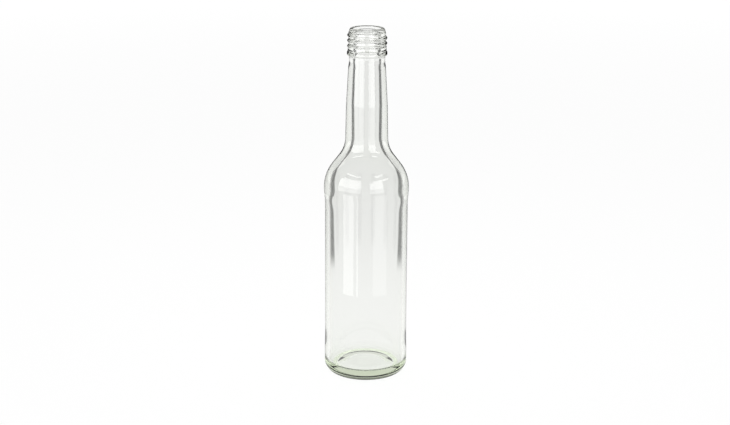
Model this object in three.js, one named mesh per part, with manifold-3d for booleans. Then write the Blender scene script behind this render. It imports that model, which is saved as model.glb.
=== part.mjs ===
// A clear glass bottle with a long neck and a screw finish, blown in one piece, open and without a cap.
// Millimetres, +Z up. The origin is the centre of the ring that the bottle stands on.
import * as THREE from "three";
import { mergeVertices } from "three/addons/utils/BufferGeometryUtils.js";
import Module from "manifold-3d";

// Overall size.
const HEIGHT = 250;
const SHOULDER_DIAMETER = 60; // the widest ring, where the shoulder meets the body

// Body. Its side is set in a little between the shoulder and the heel, as a panel for a label.
const PANEL_INSET = 0.75;
const HEEL_INSET = 0.45;
const SHOULDER_RING_HEIGHT = 137.1;
const SHOULDER_RING_WIDTH = 9.5;
const PANEL_BOTTOM = 31;
const HEEL_RING_TOP = 19;
const HEEL_RADIUS = 8;

// Shoulder, a cone between two large fillets.
const CONE_ANGLE = THREE.MathUtils.degToRad(37.2); // from the vertical
const SHOULDER_FILLET = 27;
const NECK_FILLET = 21;

// Neck, which narrows slowly from its foot and then faster towards the finish.
const NECK_FOOT_DIAMETER = 30.2;
const NECK_FOOT_LENGTH = 30;
const NECK_MIDDLE_DIAMETER = 29;
const NECK_TOP_DIAMETER = 26.1;

// Finish, measured down from the rim: the lip, the thread's root, the land under the thread, the bead and the
// waist.
const LIP_DIAMETER = 24.9;
const LIP_HEIGHT = 2.4;
const LIP_ROUND = 1.8;
const ROOT_DIAMETER = 25.9;
const LAND_DIAMETER = 26.8;
const LAND_LENGTH = 3.2;
const BEAD_BELOW_RIM = 15.4;
const BEAD_THICKNESS = 3.6;
const BEAD_DIAMETER = 28;
const BEAD_SLOPE = 1.3; // the height over which the bead runs in to the land
const BEAD_ROUND = 1;
const WAIST_DIAMETER = 25;
const WAIST_LENGTH = 4.6;
const WAIST_FLARE = 4;
const STEP_SLOPE = 0.6; // the height over which the finish steps from one diameter to the next

// Thread, one right-hand ridge that fades into the root at both ends.
const THREAD_DEPTH = 0.9;
const THREAD_PITCH = 3.75;
const THREAD_TURNS = 2.4;
const THREAD_WIDTH = 2.3;
const THREAD_BELOW_RIM = 4.2;
const THREAD_START = THREE.MathUtils.degToRad(-110);
const THREAD_FADE = THREE.MathUtils.degToRad(60);
const THREAD_BITE = 0.7; // how far the ridge's foot sits inside the root

// Inside.
const BODY_WALL = 3;
const BORE_DIAMETER = 22.4; // the neck's
const BORE_FILLET = 25; // where the neck opens into the shoulder
const MOUTH_DIAMETER = 19.7;
const MOUTH_ROUND = 0.4;
const FLOOR_THICKNESS = 6.4;
const FLOOR_CORNER = 2.5;
const FLOOR_RISE = 0.8;

// Underside: the standing ring and the shallow hollow within it.
const RING_WIDTH = 1.6;
const HOLLOW_DEPTH = 1.5;
const HOLLOW_EDGE = 6;

const SEGMENTS_ROUND = 56;
const ARC_ERROR = 0.08; // how far an arc's chords may run inside it
const THREAD_STEPS_A_TURN = 32;
const THREAD_SIDES = 5;

const shoulderRadius = SHOULDER_DIAMETER / 2;
const panelRadius = shoulderRadius - PANEL_INSET;
const heelRadius = shoulderRadius - HEEL_INSET;
const neckFootRadius = NECK_FOOT_DIAMETER / 2;
const rootRadius = ROOT_DIAMETER / 2;
const beadTop = HEIGHT - BEAD_BELOW_RIM;
const beadBottom = beadTop - BEAD_THICKNESS;

// One corner of an outline: its radius from the axis, its height and the fillet that rounds it off.
function corner(radius, height, fillet = 0) {
  return { at: new THREE.Vector2(radius, height), fillet };
}

// The points of the arc that rounds off the corner b between a and c.
function filletPoints(a, b, c) {
  const back = a.at.clone().sub(b.at).normalize();
  const ahead = c.at.clone().sub(b.at).normalize();
  const turn = Math.PI - Math.acos(THREE.MathUtils.clamp(back.dot(ahead), -1, 1));
  const reach = b.fillet * Math.tan(turn / 2);
  const start = b.at.clone().addScaledVector(back, reach);
  const inward = back.clone().add(ahead).normalize();
  const centre = b.at.clone().addScaledVector(inward, b.fillet / Math.cos(turn / 2));
  const side = Math.sign(-back.cross(ahead));
  const steps = Math.ceil(turn / (2 * Math.acos(1 - ARC_ERROR / b.fillet)));
  const points = [];
  for (let i = 0; i <= steps; i += 1) {
    points.push(start.clone().rotateAround(centre, (side * turn * i) / steps));
  }
  return points;
}

// An outline's points, with every filleted corner replaced by its arc.
function roundedOutline(corners) {
  return corners.flatMap((b, i) =>
    b.fillet > 0 ? filletPoints(corners[i - 1], b, corners[i + 1]) : [b.at],
  );
}

// Where a cone that leaves the given corner upwards and inwards has come in to the given radius.
function coneHeight(fromRadius, fromHeight, toRadius) {
  return fromHeight + (fromRadius - toRadius) / Math.tan(CONE_ANGLE);
}

// Where the shoulder's cone would meet the body's side, if the corner were left sharp.
function shoulderCorner() {
  return SHOULDER_RING_HEIGHT + SHOULDER_FILLET * Math.tan(CONE_ANGLE / 2);
}

// Where the shoulder's cone would meet the neck, if the corner were left sharp.
function neckCorner() {
  return coneHeight(shoulderRadius, shoulderCorner(), neckFootRadius);
}

// The underside, from the axis to the standing ring.
function undersideCorners() {
  const ringInner = heelRadius - HEEL_RADIUS - RING_WIDTH;
  return [
    corner(0, HOLLOW_DEPTH),
    corner(ringInner - HOLLOW_EDGE, HOLLOW_DEPTH, 2 * HOLLOW_EDGE),
    corner(ringInner, 0),
  ];
}

// The body's outside, from the standing ring to the widest ring.
function bodyCorners() {
  return [
    corner(heelRadius, 0, HEEL_RADIUS),
    corner(heelRadius, HEEL_RING_TOP, 60),
    corner(panelRadius, PANEL_BOTTOM, 60),
    corner(panelRadius, SHOULDER_RING_HEIGHT - SHOULDER_RING_WIDTH, 50),
    corner(shoulderRadius, SHOULDER_RING_HEIGHT - SHOULDER_RING_WIDTH / 4, 20),
  ];
}

// The shoulder's and the neck's outside, up to the waist.
function neckCorners() {
  const waist = beadBottom - WAIST_LENGTH;
  return [
    corner(shoulderRadius, shoulderCorner(), SHOULDER_FILLET),
    corner(neckFootRadius, neckCorner(), NECK_FILLET),
    corner(NECK_MIDDLE_DIAMETER / 2, neckCorner() + NECK_FOOT_LENGTH, 200),
    corner(NECK_TOP_DIAMETER / 2, waist - WAIST_FLARE, 8),
    corner(WAIST_DIAMETER / 2, waist, 3),
  ];
}

// The finish's outside, from the bead to the rim.
function finishCorners() {
  const waist = WAIST_DIAMETER / 2;
  const bead = BEAD_DIAMETER / 2;
  const land = LAND_DIAMETER / 2;
  const lip = LIP_DIAMETER / 2;
  const landTop = beadTop + LAND_LENGTH;
  const lipFoot = HEIGHT - LIP_HEIGHT;
  return [
    corner(waist, beadBottom, 0.4),
    corner(bead, beadBottom, BEAD_ROUND),
    corner(bead, beadTop - BEAD_SLOPE, 1),
    corner(land, beadTop, 1),
    corner(land, landTop - STEP_SLOPE),
    corner(rootRadius, landTop),
    corner(rootRadius, lipFoot - STEP_SLOPE),
    corner(lip, lipFoot),
    corner(lip, HEIGHT, LIP_ROUND),
  ];
}

// The inside, from the rim down to the axis.
function insideCorners() {
  const mouth = MOUTH_DIAMETER / 2;
  const neck = BORE_DIAMETER / 2;
  const body = panelRadius - BODY_WALL;
  const floor = HOLLOW_DEPTH + FLOOR_THICKNESS;
  const coneFoot = shoulderCorner() - BODY_WALL * Math.tan(CONE_ANGLE / 2);
  return [
    corner(mouth, HEIGHT, MOUTH_ROUND),
    corner(mouth, beadBottom, 20),
    corner(neck, neckCorner() + NECK_FOOT_LENGTH, 60),
    corner(neck, coneHeight(body, coneFoot, neck), BORE_FILLET),
    corner(body, coneFoot, SHOULDER_FILLET - BODY_WALL),
    corner(body, floor, FLOOR_CORNER),
    corner(0, floor + FLOOR_RISE),
  ];
}

// A geometry as one closed solid, without the faces that shrink to nothing on the axis.
function solidOf(wasm, geometry) {
  const bare = geometry.clone();
  bare.deleteAttribute("normal");
  bare.deleteAttribute("uv");
  const merged = mergeVertices(bare, 1e-5);
  const index = merged.index.array;
  const kept = [];
  for (let i = 0; i < index.length; i += 3) {
    const [a, b, c] = index.slice(i, i + 3);
    if (a !== b && b !== c && a !== c) {
      kept.push(a, b, c);
    }
  }
  const mesh = new wasm.Mesh({
    numProp: 3,
    vertProperties: merged.getAttribute("position").array,
    triVerts: new Uint32Array(kept),
  });
  return new wasm.Manifold(mesh);
}

// The blown glass without its thread: one closed outline turned about the axis.
function makeVessel(wasm) {
  const outside = [...bodyCorners(), ...neckCorners(), ...finishCorners()];
  const outline = roundedOutline([...undersideCorners(), ...outside, ...insideCorners()]);
  const turned = new THREE.LatheGeometry(outline, SEGMENTS_ROUND);
  turned.rotateX(Math.PI / 2);
  return solidOf(wasm, turned);
}

// How far out of the root the thread stands at the given turn: its full height, or less near its ends.
function threadHeight(angle) {
  const whole = THREAD_TURNS * 2 * Math.PI;
  const fromEnd = Math.min(angle, whole - angle);
  const share = THREE.MathUtils.smoothstep(fromEnd, 0, THREAD_FADE);
  return THREE.MathUtils.lerp(-THREAD_BITE / 2, THREAD_DEPTH, share);
}

// The thread: a half-round ridge carried down a right-hand helix, and closed at both ends.
function makeThread(wasm) {
  const steps = Math.round(THREAD_TURNS * THREAD_STEPS_A_TURN);
  const ring = THREAD_SIDES + 1;
  const foot = rootRadius - THREAD_BITE;
  const positions = [];
  for (let i = 0; i <= steps; i += 1) {
    const angle = (i / THREAD_STEPS_A_TURN) * 2 * Math.PI;
    const turn = THREAD_START - angle;
    const middle = HEIGHT - THREAD_BELOW_RIM - (THREAD_PITCH * i) / THREAD_STEPS_A_TURN;
    const height = THREAD_BITE + threadHeight(angle);
    for (let k = 0; k <= THREAD_SIDES; k += 1) {
      const around = (Math.PI * k) / THREAD_SIDES;
      const radius = foot + height * Math.sin(around);
      const z = middle + (THREAD_WIDTH / 2) * Math.cos(around);
      positions.push(radius * Math.cos(turn), radius * Math.sin(turn), z);
    }
  }
  const faces = [];
  for (let i = 0; i < steps; i += 1) {
    for (let k = 0; k < ring; k += 1) {
      const a = i * ring + k;
      const b = i * ring + ((k + 1) % ring);
      faces.push(a, a + ring, b, b, a + ring, b + ring);
    }
  }
  const last = steps * ring;
  for (let k = 1; k < THREAD_SIDES; k += 1) {
    faces.push(0, k, k + 1);
    faces.push(last, last + k + 1, last + k);
  }
  const geometry = new THREE.BufferGeometry();
  geometry.setAttribute("position", new THREE.Float32BufferAttribute(positions, 3));
  geometry.setIndex(faces);
  return solidOf(wasm, geometry);
}

// A solid as a named mesh with its own material.
function meshOf(solid, name, material) {
  const made = solid.getMesh();
  const geometry = new THREE.BufferGeometry();
  geometry.setAttribute("position", new THREE.BufferAttribute(made.vertProperties, 3));
  geometry.setIndex(new THREE.BufferAttribute(made.triVerts, 1));
  geometry.computeVertexNormals();
  const mesh = new THREE.Mesh(geometry, material);
  mesh.name = name;
  return mesh;
}

const wasm = await Module();
wasm.setup();

const glass = new THREE.MeshStandardMaterial({
  color: 0xe4ece6,
  roughness: 0.05,
  transparent: true,
  opacity: 0.35,
});
const bottle = makeVessel(wasm).add(makeThread(wasm));
const part = new THREE.Group();
part.add(meshOf(bottle, "bottle", glass));

export default part;
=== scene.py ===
"""Looks of the clear glass bottle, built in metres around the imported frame.

The bottle is one skin of glass, turned from its outline, with the thread raised on its neck. It stands on a
white ground in plain soft light.
"""

import logging
import math
from dataclasses import dataclass, field
from enum import Enum

import bmesh
import bpy
from mathutils import Matrix, Vector, noise


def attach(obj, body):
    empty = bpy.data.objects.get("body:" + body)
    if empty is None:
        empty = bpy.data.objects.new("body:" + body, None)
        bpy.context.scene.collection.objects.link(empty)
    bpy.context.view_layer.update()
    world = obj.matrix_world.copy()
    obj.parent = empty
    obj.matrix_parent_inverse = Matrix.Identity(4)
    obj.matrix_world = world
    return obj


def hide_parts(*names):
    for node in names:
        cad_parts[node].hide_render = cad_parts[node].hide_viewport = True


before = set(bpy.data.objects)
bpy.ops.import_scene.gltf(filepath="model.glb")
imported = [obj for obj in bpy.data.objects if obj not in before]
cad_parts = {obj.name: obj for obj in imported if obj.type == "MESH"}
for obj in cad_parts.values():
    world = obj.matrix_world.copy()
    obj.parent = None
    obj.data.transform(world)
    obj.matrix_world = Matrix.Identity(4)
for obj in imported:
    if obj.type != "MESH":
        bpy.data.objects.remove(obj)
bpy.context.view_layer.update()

MM = 0.001
FULL_TURN = 2 * math.pi
CENTRE = (0.0, 0.0, 0.0)
UP = (0.0, 0.0, 1.0)
WHITE = (1.0, 1.0, 1.0, 1.0)

Shade = tuple[float, float, float, float]

log = logging.getLogger("bottle")


class Ray(Enum):
    """What a surface can ask about the ray that reaches it."""

    CAMERA = "Is Camera Ray"
    GLOSSY = "Is Glossy Ray"
    THROUGH_GLASS = "Is Transmission Ray"
    SHADOW = "Is Shadow Ray"
    PASSES = "Transmission Depth"


class Side(Enum):
    """Which skin of the glass a point lies on."""

    OUTER = 1
    INNER = -1


class Nodes:
    """A material's or the world's node tree, with short ways to add to it."""

    def __init__(self, tree: bpy.types.NodeTree) -> None:
        """Empties the tree.

        Args:
            tree: the node tree to build in.
        """
        self.tree = tree
        tree.nodes.clear()

    def add(self, kind: str, **inputs: object) -> bpy.types.Node:
        """Adds one node and sets its sockets.

        Args:
            kind: the node's type name, without its ShaderNode prefix.
            inputs: socket values or output sockets, by the socket's name with _ for a space.

        Returns:
            The node.
        """
        node = self.tree.nodes.new("ShaderNode" + kind)
        for name, value in inputs.items():
            self.set(node.inputs[name.replace("_", " ")], value)
        return node

    def set(self, socket: bpy.types.NodeSocket, value: object) -> None:
        """Links an output to a socket, or sets its value.

        Args:
            socket: the input socket.
            value: an output socket, or the value itself.
        """
        if isinstance(value, bpy.types.NodeSocket):
            self.tree.links.new(value, socket)
        else:
            socket.default_value = value

    def math(self, operation: str, *values: object) -> bpy.types.NodeSocket:
        """Adds a Math node.

        Args:
            operation: the operation's name.
            values: its inputs, in order.

        Returns:
            The result's socket.
        """
        node = self.tree.nodes.new("ShaderNodeMath")
        node.operation = operation
        for socket, value in zip(node.inputs, values):
            self.set(socket, value)
        return node.outputs[0]

    def length(self, vector: object) -> bpy.types.NodeSocket:
        """Adds a vector's length.

        Args:
            vector: the vector.

        Returns:
            The length's socket.
        """
        node = self.add("VectorMath", Vector=vector)
        node.operation = "LENGTH"
        return node.outputs["Value"]

    def ray(self, question: Ray) -> bpy.types.NodeSocket:
        """The output that answers a question about the ray."""
        return self.add("LightPath").outputs[question.value]

    def mirrored(self) -> bpy.types.NodeSocket:
        """The output that is 1 for a ray off a mirroring surface, and 0 for one that passed through glass."""
        not_through = self.math("SUBTRACT", 1.0, self.ray(Ray.THROUGH_GLASS))
        return self.math("MULTIPLY", self.ray(Ray.GLOSSY), not_through)

    def ramp(
        self, value: object, low: float, high: float, at_low: object, at_high: object
    ) -> bpy.types.NodeSocket:
        """Adds a smooth step from one level to another.

        Args:
            value: what the step follows.
            low: where it starts.
            high: where it ends.
            at_low: the level before it.
            at_high: the level after it.

        Returns:
            The level's socket.
        """
        node = self.tree.nodes.new("ShaderNodeMapRange")
        node.interpolation_type = "SMOOTHSTEP"
        names = ("Value", "From Min", "From Max", "To Min", "To Max")
        for name, number in zip(names, (value, low, high, at_low, at_high)):
            self.set(node.inputs[name], number)
        return node.outputs["Result"]

    def mix(self, share: object, first: object, second: object) -> bpy.types.NodeSocket:
        """Adds a mix of two shaders.

        Args:
            share: the second one's share.
            first: the first shader's socket.
            second: the second shader's socket.

        Returns:
            The mixed shader's socket.
        """
        node = self.add("MixShader", Fac=share)
        self.set(node.inputs[1], first)
        self.set(node.inputs[2], second)
        return node.outputs[0]


def new_material(name: str) -> tuple[bpy.types.Material, Nodes]:
    """Makes a material with nothing in it.

    Args:
        name: its name.

    Returns:
        The material and its nodes.
    """
    made = bpy.data.materials.new(name)
    made.use_nodes = True
    return made, Nodes(made.node_tree)


def new_object(name: str, mesh: bmesh.types.BMesh, finish: bpy.types.Material) -> bpy.types.Object:
    """Puts a mesh into the scene as an object, and frees it.

    Args:
        name: the object's name.
        mesh: its mesh.
        finish: its material.

    Returns:
        The object.
    """
    data = bpy.data.meshes.new(name)
    mesh.to_mesh(data)
    mesh.free()
    data.materials.append(finish)
    made = bpy.data.objects.new(name, data)
    bpy.context.scene.collection.objects.link(made)
    return made


@dataclass(frozen=True)
class ClearGlass:
    """Clear bottle glass, faintly green where the eye looks along it.

    It is matt on the ring it stands on. The eye alone also sees painted shade on the edge beside that ring: a
    matt band, darkest beside the table.
    """

    name: str = "clear_bottle_glass"
    ior: float = 1.52
    roughness: float = 0.0
    tint: Shade = (0.87, 0.93, 0.77, 1.0)
    tint_density: float = 27.0
    shadow: Shade = (0.93, 0.95, 0.93, 1.0)
    ripple_scale: float = 60.0
    ripple_stretch: tuple[float, float, float] = (1.0, 1.0, 0.3)
    ripple_detail: float = 1.0
    ripple_strength: float = 0.02
    ripple_depth: float = 1.0 * MM
    ring_and_painted_shade_colour: tuple[float, float, float] = (0.70, 0.70, 0.67)
    ring_inner: float = 20.0 * MM
    ring_full: float = 21.0 * MM
    ring_low: float = 0.2 * MM
    ring_high: float = 0.7 * MM
    # painted shade: a matt band on the edge beside the ring, seen only by the eye
    edge: float = 0.8
    painted_edge_low: float = 2.8 * MM
    painted_edge_high: float = 4.6 * MM
    # painted shade: the edge's matt band darkens beside the table
    painted_shade_level: float = 0.29
    painted_shade_low: float = 0.6 * MM
    painted_shade_high: float = 1.7 * MM

    def material(self) -> bpy.types.Material:
        """Makes the glass.

        Returns:
            The material.
        """
        made, nodes = new_material(self.name)
        place = nodes.add("TexCoord").outputs["Object"]
        stretch = nodes.add("Mapping", Vector=place, Scale=self.ripple_stretch).outputs["Vector"]
        ripple = nodes.add("TexNoise", Vector=stretch, Scale=self.ripple_scale, Detail=self.ripple_detail)
        bump = nodes.add(
            "Bump",
            Height=ripple.outputs["Fac"],
            Strength=self.ripple_strength,
            Distance=self.ripple_depth,
        )
        glass = nodes.add(
            "BsdfPrincipled",
            Base_Color=WHITE,
            Roughness=self.roughness,
            IOR=self.ior,
            Transmission_Weight=1.0,
            Normal=bump.outputs["Normal"],
        )
        # painted shade beside the table, for the eye only, darkens the matt colour
        level = self.rim(nodes, place)
        red, green, blue = (nodes.math("MULTIPLY", level, channel) for channel in self.ring_and_painted_shade_colour)
        shade = nodes.add("CombineXYZ", X=red, Y=green, Z=blue).outputs["Vector"]
        matt = nodes.add("BsdfDiffuse", Color=shade)
        # the matt standing ring, and the painted shade on the edge beside it
        worn_ring_and_painted_shade = nodes.mix(self.ring(nodes, place), glass.outputs[0], matt.outputs[0])
        lamp_light = nodes.add("BsdfTransparent", Color=self.shadow)
        surface = nodes.mix(nodes.ray(Ray.SHADOW), worn_ring_and_painted_shade, lamp_light.outputs[0])
        body = nodes.add("VolumeAbsorption", Color=self.tint, Density=self.tint_density)
        nodes.add("OutputMaterial", Surface=surface, Volume=body.outputs[0])
        return made

    def rim(self, nodes: Nodes, place: object) -> bpy.types.NodeSocket:
        """Adds the matt part's level, lowered beside the table by painted shade for the little light that gets
        in there.

        Args:
            nodes: the node tree.
            place: the point's place on the bottle.

        Returns:
            The level, 1 away from the table and for all but the eye.
        """
        height = nodes.add("SeparateXYZ", Vector=place).outputs["Z"]
        level = nodes.ramp(height, self.painted_shade_low, self.painted_shade_high, self.painted_shade_level, 1.0)
        return nodes.math("MAXIMUM", nodes.math("SUBTRACT", 1.0, nodes.ray(Ray.CAMERA)), level)

    def ring(self, nodes: Nodes, place: object) -> bpy.types.NodeSocket:
        """Adds the mask of the matt standing ring and of the painted shade on the edge beside it, which only
        the eye sees.

        Args:
            nodes: the node tree.
            place: the point's place on the bottle.

        Returns:
            1 on the ring and 0 away from it.
        """
        parts = nodes.add("SeparateXYZ", Vector=place).outputs
        flat = nodes.add("CombineXYZ", X=parts["X"], Y=parts["Y"], Z=0.0).outputs["Vector"]
        out = nodes.ramp(nodes.length(flat), self.ring_inner, self.ring_full, 0.0, 1.0)
        low = nodes.ramp(parts["Z"], self.ring_low, self.ring_high, 1.0, 0.0)
        # painted shade: the edge's matt band, which only camera rays meet
        edge = nodes.ramp(parts["Z"], self.painted_edge_low, self.painted_edge_high, self.edge, 0.0)
        outside = nodes.math("MULTIPLY", nodes.ray(Ray.CAMERA), edge)
        return nodes.math("MAXIMUM", nodes.math("MULTIPLY", out, low), outside)


@dataclass(frozen=True)
class WhiteGround:
    """The pale ground: white to the eye and through glass, dimmer in gloss far from the bottle.

    Through glass it also carries painted shadow beneath the bottle, faint for a ray that crossed the hollow and
    deep for one that stayed in a wall, and painted dark sectors that leave it at a slant, where its white gives
    out; a ray that stayed in a wall gets painted extra light instead of the sectors. A ray that crossed the
    bottle's hollow has made more passes through a glass surface than one that stayed in a wall, and only the
    first kind meets the sectors.
    """

    name: str = "white_ground"
    shade: float = 0.1
    glow: float = 0.89
    glow_far: float = 1.0
    glow_far_from: float = 2.4
    near: float = 0.12
    far: float = 0.48
    gloss_near: float = 0.5
    gloss_far: float = 0.0
    through_near: float = 0.815
    through_far: float = 0.75
    beyond: float = 0.93
    beyond_from: float = 1.19
    beyond_full: float = 1.29
    # painted shadow beneath the bottle, seen only through glass
    painted_shadow_level: float = 0.96
    painted_shadow_by_heel: float = 0.1
    painted_shadow_full: float = 0.027
    painted_shadow_end: float = 0.0345
    # painted dark sectors seen through glass, and painted extra light for a ray that stayed in a wall
    sector_span: float = math.pi / 4
    sector_middle: float = math.radians(22.5)
    sector_half: float = math.radians(7.0)
    sector_soft: float = math.radians(1.0)
    sector_from: float = 0.235
    sector_full: float = 0.3
    passes: float = 2.5
    painted_wall_light: float = 0.15

    def material(self) -> bpy.types.Material:
        """Makes the ground's finish.

        Returns:
            The material.
        """
        made, nodes = new_material(self.name)
        place = nodes.add("TexCoord").outputs["Object"]
        distance = nodes.length(place)
        gloss = nodes.ramp(distance, self.near, self.far, self.gloss_near, self.gloss_far)
        glow = nodes.ramp(distance, self.far, self.glow_far_from, self.glow, self.glow_far)
        seen = nodes.math("MULTIPLY", nodes.ray(Ray.CAMERA), glow)
        glossy = nodes.math("MULTIPLY", nodes.mirrored(), gloss)
        passed = nodes.math("MULTIPLY", nodes.ray(Ray.THROUGH_GLASS), self.through(nodes, place, distance))
        strength = nodes.math("ADD", nodes.math("ADD", seen, glossy), passed)
        light = nodes.add("Emission", Color=WHITE, Strength=strength)
        matt = nodes.add("BsdfDiffuse", Color=(self.shade, self.shade, self.shade, 1.0))
        both = nodes.add("AddShader")
        nodes.set(both.inputs[0], light.outputs[0])
        nodes.set(both.inputs[1], matt.outputs[0])
        nodes.add("OutputMaterial", Surface=both.outputs[0])
        return made

    def through(self, nodes: Nodes, place: object, distance: object) -> bpy.types.NodeSocket:
        """Adds the ground's level as it is seen through glass.

        Args:
            nodes: the node tree.
            place: the point's place.
            distance: its distance from the bottle.

        Returns:
            The level.
        """
        beyond = nodes.ramp(distance, self.beyond_from, self.beyond_full, self.through_far, self.beyond)
        white = nodes.ramp(distance, self.near, self.far, self.through_near, beyond)
        both_walls = nodes.math("GREATER_THAN", nodes.ray(Ray.PASSES), self.passes)
        # painted shadow beneath the bottle: faint for a ray that crossed the hollow, deep for one that stayed
        # in a wall
        painted_shadow_depth = nodes.math("MULTIPLY_ADD", both_walls, self.painted_shadow_level - self.painted_shadow_by_heel, self.painted_shadow_by_heel)
        painted_shadow_level = nodes.ramp(distance, self.painted_shadow_full, self.painted_shadow_end, painted_shadow_depth, 1.0)
        sectors = self.sectors(nodes, place, distance, both_walls)
        return nodes.math("MULTIPLY", nodes.math("MULTIPLY", white, painted_shadow_level), sectors)

    def sectors(
        self, nodes: Nodes, place: object, distance: object, both_walls: object
    ) -> bpy.types.NodeSocket:
        """Adds the painted dark sectors, which leave each eighth's edge at the same slant, and the painted
        extra light in the walls.

        Args:
            nodes: the node tree.
            place: the point's place.
            distance: its distance from the bottle.
            both_walls: 1 for a ray that crossed the bottle's hollow, and 0 for one that stayed in a wall.

        Returns:
            The share of the white that is left.
        """
        parts = nodes.add("SeparateXYZ", Vector=place).outputs
        angle = nodes.math("ARCTAN2", parts["X"], parts["Y"])
        slant = nodes.math("PINGPONG", nodes.math("ADD", angle, math.pi), self.sector_span)
        off = nodes.math("ABSOLUTE", nodes.math("SUBTRACT", slant, self.sector_middle))
        inner, outer = self.sector_half - self.sector_soft, self.sector_half + self.sector_soft
        painted_dark_sector = nodes.ramp(off, inner, outer, 1.0, 0.0)
        reach = nodes.ramp(distance, self.sector_from, self.sector_full, 0.0, 1.0)
        dark = nodes.math("MULTIPLY", nodes.math("MULTIPLY", painted_dark_sector, reach), both_walls)
        wall_only = nodes.math("SUBTRACT", 1.0, both_walls)
        # painted extra light for a ray that stayed in a wall
        painted_light = nodes.math("MULTIPLY", wall_only, self.painted_wall_light)
        return nodes.math("ADD", nodes.math("SUBTRACT", 1.0, dark), painted_light)


@dataclass(frozen=True)
class Glow:
    """The even face of a light panel."""

    name: str
    strength: float

    def material(self) -> bpy.types.Material:
        """Makes the panel's finish.

        Returns:
            The material.
        """
        made, nodes = new_material(self.name)
        glow = nodes.add("Emission", Color=WHITE, Strength=self.strength)
        nodes.add("OutputMaterial", Surface=glow.outputs[0])
        return made


@dataclass(frozen=True)
class Corner:
    """One corner of the outline, in millimetres."""

    radius: float
    height: float
    fillet: float = 0.0

    def at(self) -> Vector:
        """The corner as a point in the outline's plane, in metres."""
        return Vector((self.radius * MM, 0.0, self.height * MM))


@dataclass
class Outline:
    """The glass's outline as a chain of edges in a mesh, grown corner by corner. Lengths are in millimetres."""

    mesh: bmesh.types.BMesh
    longest: float = 2.5
    finest: float = 0.12
    same_place: float = 0.0001
    fewest_steps: int = 3
    most_steps: int = 24
    arc_edge: float = 0.6
    arc_degrees: float = 3.0
    last: bmesh.types.BMVert | None = None

    def run_to(self, vert: bmesh.types.BMVert, longest: float) -> None:
        """Joins the chain's end to a vertex by a straight run, cut into short edges.

        Args:
            vert: the run's far end.
            longest: the longest edge allowed, in millimetres.
        """
        if self.last is not None and (self.last.co - vert.co).length > self.same_place * MM:
            edge = self.mesh.edges.new((self.last, vert))
            parts = math.ceil(edge.calc_length() / (longest * MM))
            for left in range(parts, 1, -1):
                edge, self.last = bmesh.utils.edge_split(edge, self.last, 1 / left)
                edge = next(e for e in self.last.link_edges if e.other_vert(self.last) is vert)
        self.last = vert

    def turn(self, before: Corner, here: Corner, after: Corner, longest: float) -> None:
        """Adds a corner, rounded by its fillet.

        Args:
            before: the corner before it.
            here: the corner.
            after: the corner after it.
            longest: the longest edge allowed on the way to it, in millimetres.
        """
        if here.fillet <= 0.0:
            self.run_to(self.mesh.verts.new(here.at()), longest)
            return
        back = (before.at() - here.at()).normalized()
        ahead = (after.at() - here.at()).normalized()
        turn = math.pi - back.angle(ahead)
        reach = here.fillet * MM * math.tan(turn / 2)
        start = self.mesh.verts.new(here.at() + back * reach)
        self.run_to(start, longest)
        centre = here.at() + (back + ahead).normalized() * here.fillet * MM / math.cos(turn / 2)
        by_length = math.ceil(turn * here.fillet / self.arc_edge)
        by_angle = math.ceil(math.degrees(turn) / self.arc_degrees)
        made = bmesh.ops.spin(
            self.mesh,
            geom=[start],
            cent=centre,
            axis=back.cross(ahead).normalized(),
            angle=-turn,
            steps=max(self.fewest_steps, min(self.most_steps, by_length, by_angle)),
        )
        self.last = next(item for item in made["geom_last"] if isinstance(item, bmesh.types.BMVert))


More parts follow.
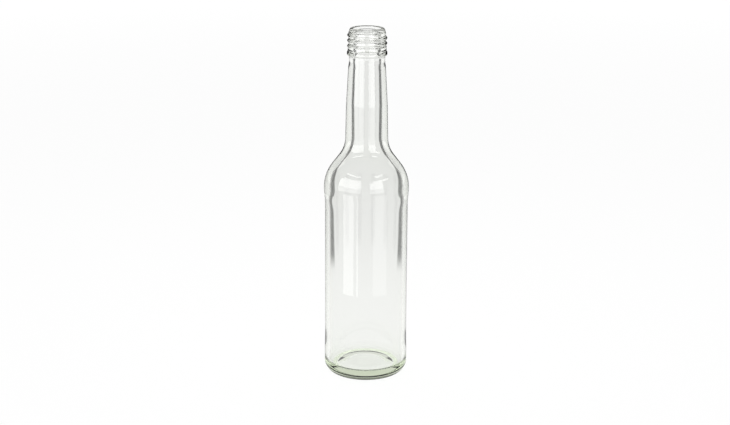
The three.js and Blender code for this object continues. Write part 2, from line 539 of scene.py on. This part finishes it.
@dataclass
class Bottle:
    """The blown bottle: its sizes in millimetres, its skin of glass and its finish."""

    height: float = 250.0
    shoulder_diameter: float = 60.0
    panel_inset: float = 0.75
    heel_inset: float = 0.45
    shoulder_ring_height: float = 137.1
    shoulder_ring_width: float = 9.5
    shoulder_ring_full: float = 2.375
    shoulder_ring_round: float = 20.0
    panel_bottom: float = 31.0
    panel_round: float = 50.0
    heel_ring_top: float = 19.0
    heel_ring_round: float = 60.0
    heel_radius: float = 8.0
    cone_angle: float = math.radians(37.2)
    shoulder_fillet: float = 27.0
    neck_fillet: float = 21.0
    neck_foot_diameter: float = 30.2
    neck_foot_length: float = 30.0
    neck_middle_diameter: float = 29.0
    neck_middle_round: float = 200.0
    neck_top_diameter: float = 26.1
    neck_top_round: float = 8.0
    lip_diameter: float = 24.9
    lip_height: float = 2.4
    lip_round: float = 1.8
    root_diameter: float = 25.9
    land_diameter: float = 26.8
    land_length: float = 3.2
    bead_below_rim: float = 15.4
    bead_thickness: float = 3.6
    bead_diameter: float = 28.0
    bead_slope: float = 1.3
    bead_round: float = 1.0
    waist_diameter: float = 25.0
    waist_length: float = 4.6
    waist_flare: float = 4.0
    waist_round: float = 3.0
    step_slope: float = 0.6
    step_round: float = 0.4
    thread_depth: float = 0.9
    thread_pitch: float = 3.75
    thread_turns: float = 2.4
    thread_width: float = 2.3
    thread_below_rim: float = 4.2
    thread_start: float = math.radians(-110.0)
    thread_fade: float = math.radians(60.0)
    thread_bite: float = 0.7
    thread_clear_of_rim: float = 0.3
    thread_skin: float = 0.6
    body_wall: float = 3.0
    bore_diameter: float = 22.4
    bore_fillet: float = 25.0
    bore_top_round: float = 60.0
    mouth_diameter: float = 19.7
    mouth_foot_round: float = 20.0
    mouth_round: float = 0.4
    floor_thickness: float = 6.4
    floor_corner: float = 2.5
    floor_rise: float = 0.8
    ring_width: float = 1.6
    ring_round: float = 0.8
    hollow_depth: float = 1.5
    hollow_edge: float = 6.0
    hollow_round: float = 12.0
    steps_round: int = 160
    weld: float = 0.001
    wander: float = 0.05
    wander_scale: tuple[float, float, float] = (45.0, 45.0, 16.0)
    wander_shift: float = 3.7
    wander_ease: float = 12.0
    on_axis: float = 0.1
    glass: ClearGlass = field(default_factory=ClearGlass)

    @property
    def panel_radius(self) -> float:
        """The body's radius at its set-in side."""
        return self.shoulder_diameter / 2 - self.panel_inset

    @property
    def heel_ring(self) -> float:
        """The radius of the ring above the heel."""
        return self.shoulder_diameter / 2 - self.heel_inset

    @property
    def bead_top(self) -> float:
        """The height of the bead's upper side."""
        return self.height - self.bead_below_rim

    @property
    def bead_bottom(self) -> float:
        """The height of the bead's lower side."""
        return self.bead_top - self.bead_thickness

    @property
    def floor(self) -> float:
        """The height of the floor's top at its edge."""
        return self.hollow_depth + self.floor_thickness

    def shoulder_corner(self) -> float:
        """Where the shoulder's cone would meet the body's side, if the corner were left sharp."""
        return self.shoulder_ring_height + self.shoulder_fillet * math.tan(self.cone_angle / 2)

    def cone_height(self, from_radius: float, from_height: float, to_radius: float) -> float:
        """Where a cone that leaves a corner upwards has come in to a smaller radius.

        Args:
            from_radius: the corner's radius.
            from_height: the corner's height.
            to_radius: the smaller radius.

        Returns:
            The height.
        """
        return from_height + (from_radius - to_radius) / math.tan(self.cone_angle)

    def neck_corner(self) -> float:
        """Where the shoulder's cone would meet the neck, if the corner were left sharp."""
        shoulder, neck_foot = self.shoulder_diameter / 2, self.neck_foot_diameter / 2
        return self.cone_height(shoulder, self.shoulder_corner(), neck_foot)

    def underside(self) -> list[Corner]:
        """The underside's corners, from the axis to the standing ring."""
        ring = self.heel_ring - self.heel_radius - self.ring_width
        return [
            Corner(0.0, self.hollow_depth),
            Corner(ring - self.hollow_edge, self.hollow_depth, self.hollow_round),
            Corner(ring, 0.0, self.ring_round),
        ]

    def outside(self) -> list[Corner]:
        """The outside's corners, from the standing ring to the rim."""
        shoulder = self.shoulder_diameter / 2
        lip = self.lip_diameter / 2
        root = self.root_diameter / 2
        land = self.land_diameter / 2
        bead = self.bead_diameter / 2
        waist = self.waist_diameter / 2
        ring_foot = self.shoulder_ring_height - self.shoulder_ring_width
        ring_full = self.shoulder_ring_height - self.shoulder_ring_full
        neck_middle = self.neck_corner() + self.neck_foot_length
        waist_foot = self.bead_bottom - self.waist_length
        land_top = self.bead_top + self.land_length
        lip_foot = self.height - self.lip_height
        return [
            Corner(self.heel_ring, 0.0, self.heel_radius),
            Corner(self.heel_ring, self.heel_ring_top, self.heel_ring_round),
            Corner(self.panel_radius, self.panel_bottom, self.heel_ring_round),
            Corner(self.panel_radius, ring_foot, self.panel_round),
            Corner(shoulder, ring_full, self.shoulder_ring_round),
            Corner(shoulder, self.shoulder_corner(), self.shoulder_fillet),
            Corner(self.neck_foot_diameter / 2, self.neck_corner(), self.neck_fillet),
            Corner(self.neck_middle_diameter / 2, neck_middle, self.neck_middle_round),
            Corner(self.neck_top_diameter / 2, waist_foot - self.waist_flare, self.neck_top_round),
            Corner(waist, waist_foot, self.waist_round),
            Corner(waist, self.bead_bottom, self.step_round),
            Corner(bead, self.bead_bottom, self.bead_round),
            Corner(bead, self.bead_top - self.bead_slope, self.bead_round),
            Corner(land, self.bead_top, self.bead_round),
            Corner(land, land_top - self.step_slope, self.step_round),
            Corner(root, land_top, self.step_round),
            Corner(root, lip_foot - self.step_slope, self.step_round),
            Corner(lip, lip_foot, self.step_round),
            Corner(lip, self.height, self.lip_round),
        ]

    def inside(self) -> list[Corner]:
        """The inside's corners, from the rim down to the axis."""
        mouth = self.mouth_diameter / 2
        neck = self.bore_diameter / 2
        body = self.panel_radius - self.body_wall
        foot = self.shoulder_corner() - self.body_wall * math.tan(self.cone_angle / 2)
        return [
            Corner(mouth, self.height, self.mouth_round),
            Corner(mouth, self.bead_bottom, self.mouth_foot_round),
            Corner(neck, self.neck_corner() + self.neck_foot_length, self.bore_top_round),
            Corner(neck, self.cone_height(body, foot, neck), self.bore_fillet),
            Corner(body, foot, self.shoulder_fillet - self.body_wall),
            Corner(body, self.floor, self.floor_corner),
            Corner(0.0, self.floor + self.floor_rise),
        ]

    def turn_skin(self, mesh: bmesh.types.BMesh) -> None:
        """Draws the outline and turns it once round the axis.

        Args:
            mesh: the empty mesh to build in.
        """
        corners = [*self.underside(), *self.outside(), *self.inside()]
        outline = Outline(mesh)
        outline.run_to(mesh.verts.new(corners[0].at()), outline.longest)
        mouth = self.mouth_diameter / 2
        for before, here, after in zip(corners, corners[1:], corners[2:]):
            by_thread = here.height > self.bead_top and here.radius > mouth
            outline.turn(before, here, after, outline.finest if by_thread else outline.longest)
        outline.run_to(mesh.verts.new(corners[-1].at()), outline.longest)
        bmesh.ops.spin(
            mesh,
            geom=[*mesh.verts, *mesh.edges],
            cent=CENTRE,
            axis=UP,
            angle=FULL_TURN,
            steps=self.steps_round,
            use_merge=True,
        )
        bmesh.ops.remove_doubles(mesh, verts=mesh.verts, dist=self.weld * MM)
        bmesh.ops.recalc_face_normals(mesh, faces=mesh.faces)

    def thread_rise(self, angle: float, height: float) -> float:
        """How far the thread stands out of its root at a point of the neck.

        Args:
            angle: the point's angle round the axis.
            height: the point's height in millimetres.

        Returns:
            The rise in millimetres, and less than 0 away from it.
        """
        whole = self.thread_turns * FULL_TURN
        gone = (self.thread_start - angle) % FULL_TURN
        best = -self.thread_bite
        while gone < whole:
            middle = self.height - self.thread_below_rim - self.thread_pitch * gone / FULL_TURN
            offset = abs(height - middle) / (self.thread_width / 2)
            if offset < 1.0:
                share = min(1.0, min(gone, whole - gone) / self.thread_fade)
                share = share * share * (3 - 2 * share)
                ridge = (self.thread_bite + self.thread_depth * share) * math.sqrt(1 - offset * offset)
                best = max(best, ridge - self.thread_bite)
            gone += FULL_TURN
        return best

    def raise_thread(self, mesh: bmesh.types.BMesh) -> None:
        """Raises the thread on the neck by moving its skin outwards.

        Args:
            mesh: the turned skin.
        """
        root = self.root_diameter / 2
        top = self.height - self.thread_clear_of_rim
        for vert in mesh.verts:
            radius = math.hypot(vert.co.x, vert.co.y) / MM
            height = vert.co.z / MM
            if self.bead_top < height < top and radius > root - self.thread_skin:
                raised = root + self.thread_rise(math.atan2(vert.co.y, vert.co.x), height)
                if raised > radius:
                    vert.co.xy *= raised / radius

    def let_wall_wander(self, mesh: bmesh.types.BMesh) -> None:
        """Gives the inside the slow, uneven wall of blown glass, and leaves its floor and rim in place.

        Args:
            mesh: the turned skin.
        """
        for vert in mesh.verts:
            radius = math.hypot(vert.co.x, vert.co.y)
            if self.side_of(vert) is Side.OUTER or radius <= self.on_axis * MM:
                continue
            height = vert.co.z / MM
            ease = 1.0
            for free in (height - self.floor, self.height - height):
                ease *= max(0.0, min(1.0, free / self.wander_ease))
            place = vert.co * Vector(self.wander_scale) + Vector(UP) * self.wander_shift
            vert.co.xy *= 1 + self.wander * MM * ease * noise.noise(place) / radius

    def side_of(self, vert: bmesh.types.BMVert) -> Side:
        """Which skin a vertex lies on, told by whether the glass's faces look away from the axis there."""
        outward = vert.normal.x * vert.co.x + vert.normal.y * vert.co.y
        return Side.OUTER if outward >= 0.0 else Side.INNER

    def build(self) -> bpy.types.Object:
        """Makes the bottle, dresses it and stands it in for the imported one.

        Returns:
            The bottle.
        """
        mesh = bmesh.new()
        self.turn_skin(mesh)
        mesh.normal_update()
        self.let_wall_wander(mesh)
        self.raise_thread(mesh)
        for face in mesh.faces:
            face.smooth = True
        made = new_object("glass_bottle", mesh, self.glass.material())
        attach(made, "root")
        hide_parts("bottle")
        return made


@dataclass(frozen=True)
class Panel:
    """An upright light panel on a circle round the bottle, seen only where glass mirrors it.

    Angles are in degrees from the camera's side, to the right, and heights are in metres.
    """

    name: str
    finish: Glow
    angles: tuple[float, float]
    heights: tuple[float, float]
    distance: float = 0.22
    steps: int = 12

    def build(self) -> bpy.types.Object:
        """Makes the panel as a curved strip.

        Returns:
            The panel.
        """
        mesh = bmesh.new()
        start, end = (math.radians(angle) for angle in self.angles)
        out = Vector((math.sin(start), -math.cos(start), 0.0)) * self.distance
        ends = [mesh.verts.new(out + Vector((0.0, 0.0, height))) for height in self.heights]
        bmesh.ops.spin(
            mesh,
            geom=[*ends, mesh.edges.new(ends)],
            cent=CENTRE,
            axis=UP,
            angle=end - start,
            steps=self.steps,
        )
        made = new_object(self.name, mesh, self.finish.material())
        made.visible_camera = False
        made.visible_diffuse = False
        made.visible_shadow = False
        made.visible_volume_scatter = False
        made.visible_transmission = False
        return made


@dataclass
class Studio:
    """The white ground, the soft light and the camera at the photograph's angle."""

    ground: WhiteGround = field(default_factory=WhiteGround)
    ground_size: float = 12.0
    ground_cells: int = 8
    ground_gap: float = 0.0002
    world_gloss: float = 0.05
    world_through: float = 0.94
    world_overhead: float = 0.74
    world_low: float = 0.0
    world_high: float = 0.3
    lamp_power: float = 33.0
    lamp_size: float = 1.6
    lamp_height: float = 1.5
    focal_pixels: float = 1630.0
    image_width: float = 730.0
    sensor_width: float = 36.0
    nearest_seen: float = 0.01
    farthest_seen: float = 100.0
    pitch: float = math.radians(15.7)
    roll: float = math.radians(0.31)
    aim: Vector = field(default_factory=lambda: Vector((-0.0009, 0.0, 0.118)))
    aim_distance: float = 1.157

    def build_ground(self) -> bpy.types.Object:
        """Makes the ground, a hair below the bottle.

        Returns:
            The ground.
        """
        mesh = bmesh.new()
        cells = self.ground_cells
        bmesh.ops.create_grid(mesh, x_segments=cells, y_segments=cells, size=self.ground_size / 2)
        bmesh.ops.translate(mesh, vec=(0.0, 0.0, -self.ground_gap), verts=mesh.verts)
        made = new_object("ground", mesh, self.ground.material())
        return made

    def build_world(self) -> None:
        """Makes the surroundings: white to the eye, dimmer through glass and nearly dark in gloss."""
        world = bpy.data.worlds.new("soft_room")
        world.use_nodes = True
        nodes = Nodes(world.node_tree)
        direction = nodes.add("TexCoord").outputs["Generated"]
        up = nodes.add("SeparateXYZ", Vector=direction).outputs["Z"]
        level = nodes.ramp(up, self.world_low, self.world_high, self.world_through, self.world_overhead)
        passed = nodes.math("MULTIPLY", nodes.ray(Ray.THROUGH_GLASS), level)
        glossy = nodes.math("MULTIPLY", nodes.mirrored(), self.world_gloss)
        strength = nodes.math("ADD", nodes.math("ADD", nodes.ray(Ray.CAMERA), glossy), passed)
        sky = nodes.add("Background", Color=WHITE, Strength=strength)
        nodes.add("OutputWorld", Surface=sky.outputs[0])
        bpy.context.scene.world = world

    def build_lamp(self) -> None:
        """Hangs one broad soft lamp over the bottle."""
        light = bpy.data.lights.new("overhead", "AREA")
        light.shape = "SQUARE"
        light.size = self.lamp_size
        light.energy = self.lamp_power
        lamp = bpy.data.objects.new("overhead", light)
        lamp.location = (0.0, 0.0, self.lamp_height)
        lamp.visible_glossy = False
        lamp.visible_transmission = False
        bpy.context.scene.collection.objects.link(lamp)

    def build_panels(self) -> None:
        """Stands the light panels round the bottle, lowest first."""
        left = Glow("left_panel", 2.7)
        right = Glow("right_panel", 1.4)
        foot = Glow("foot_panel", 2.2)
        neck = Glow("neck_panel", 4.4)
        stroke = Glow("stroke_panel", 4.0)
        panels = (
            Panel("left_low", left, (-62.0, -33.0), (0.0, 0.1)),
            Panel("left_thin", left, (-25.0, -21.0), (0.0, 0.1)),
            Panel("right_low", right, (18.0, 55.0), (0.0, 0.1)),
            Panel("left_foot", foot, (-78.0, -14.0), (0.125, 0.17)),
            Panel("right_foot", foot, (9.5, 45.0), (0.125, 0.17)),
            Panel("left_neck", neck, (-78.0, -14.0), (0.17, 0.245)),
            Panel("right_neck", neck, (9.5, 45.0), (0.17, 0.245)),
            Panel("left_high", stroke, (-70.0, -16.0), (0.245, 0.27)),
            Panel("right_high", stroke, (18.0, 66.0), (0.245, 0.27)),
            Panel("left_top", stroke, (-70.0, -16.0), (0.32, 0.35)),
            Panel("right_top", stroke, (26.0, 58.0), (0.32, 0.35)),
        )
        for panel in panels:
            panel.build()

    def build_camera(self) -> bpy.types.Object:
        """Sets up the camera as the photograph's outline gives it.

        Returns:
            The camera.
        """
        data = bpy.data.cameras.new("camera")
        data.sensor_width = self.sensor_width
        data.lens = self.focal_pixels / self.image_width * self.sensor_width
        data.clip_start = self.nearest_seen
        data.clip_end = self.farthest_seen
        camera = bpy.data.objects.new("camera", data)
        back = Vector((0.0, -math.cos(self.pitch), math.sin(self.pitch)))
        turned = (-back).to_track_quat("-Z", "Y").to_matrix().to_4x4()
        place = Matrix.Translation(self.aim + back * self.aim_distance)
        camera.matrix_world = place @ turned @ Matrix.Rotation(self.roll, 4, "Z")
        bpy.context.scene.collection.objects.link(camera)
        bpy.context.scene.camera = camera
        return camera

    def build(self) -> None:
        """Builds the whole studio."""
        bpy.context.scene.view_settings.view_transform = "Standard"
        self.build_ground()
        self.build_world()
        self.build_lamp()
        self.build_panels()
        self.build_camera()


def main() -> None:
    """Builds the bottle and its studio, and reports each piece."""
    logging.basicConfig(level=logging.INFO, format="%(message)s")
    bottle = Bottle().build()
    log.info("%s: %d faces", bottle.name, len(bottle.data.polygons))
    Studio().build()


if __name__ == "__main__":
    main()
